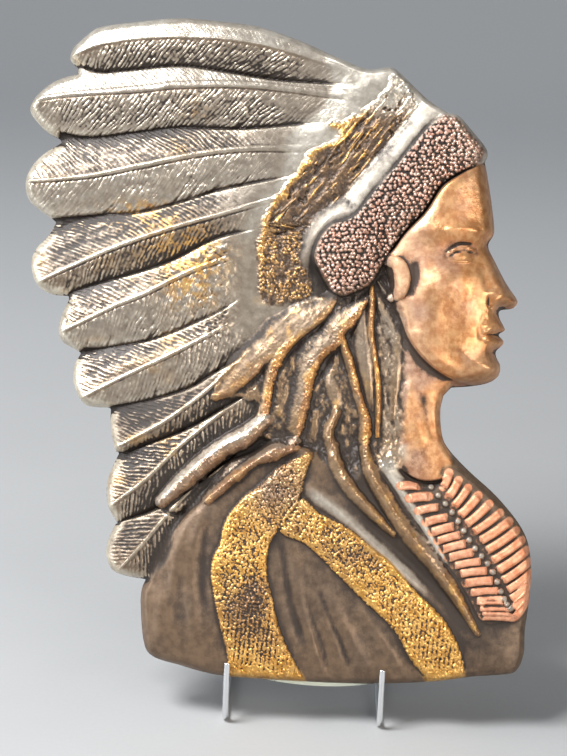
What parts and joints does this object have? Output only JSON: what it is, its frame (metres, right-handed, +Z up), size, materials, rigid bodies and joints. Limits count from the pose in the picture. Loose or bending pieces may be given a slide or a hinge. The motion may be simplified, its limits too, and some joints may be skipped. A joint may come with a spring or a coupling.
{
  "type": "relief plaque",
  "caption": "Shaped relief plaque of a head in a feather bonnet in profile, with a dark bronzed finish, leaning back on a chromed wire easel.",
  "frame": {"origin": "centre of the whole's bottom, on the table", "axes": "+Z up, -Y towards the viewer, +X to the viewer's right, where the head faces"},
  "size_m": [0.3151, 0.1234, 0.4062],
  "materials": {
    "bronzed_casting": "cast body painted black-brown with gold, copper and pale metallic rub, semi-matte",
    "chrome_wire": "polished"
  },
  "bodies": {
    "root": {"plaque": "bronzed_casting", "easel_leg_left": "chrome_wire", "easel_leg_right": "chrome_wire", "easel_rest_left": "chrome_wire", "easel_rest_right": "chrome_wire", "easel_top_bar": "chrome_wire", "easel_rear_bar": "chrome_wire"}
  },
  "joints": []
}
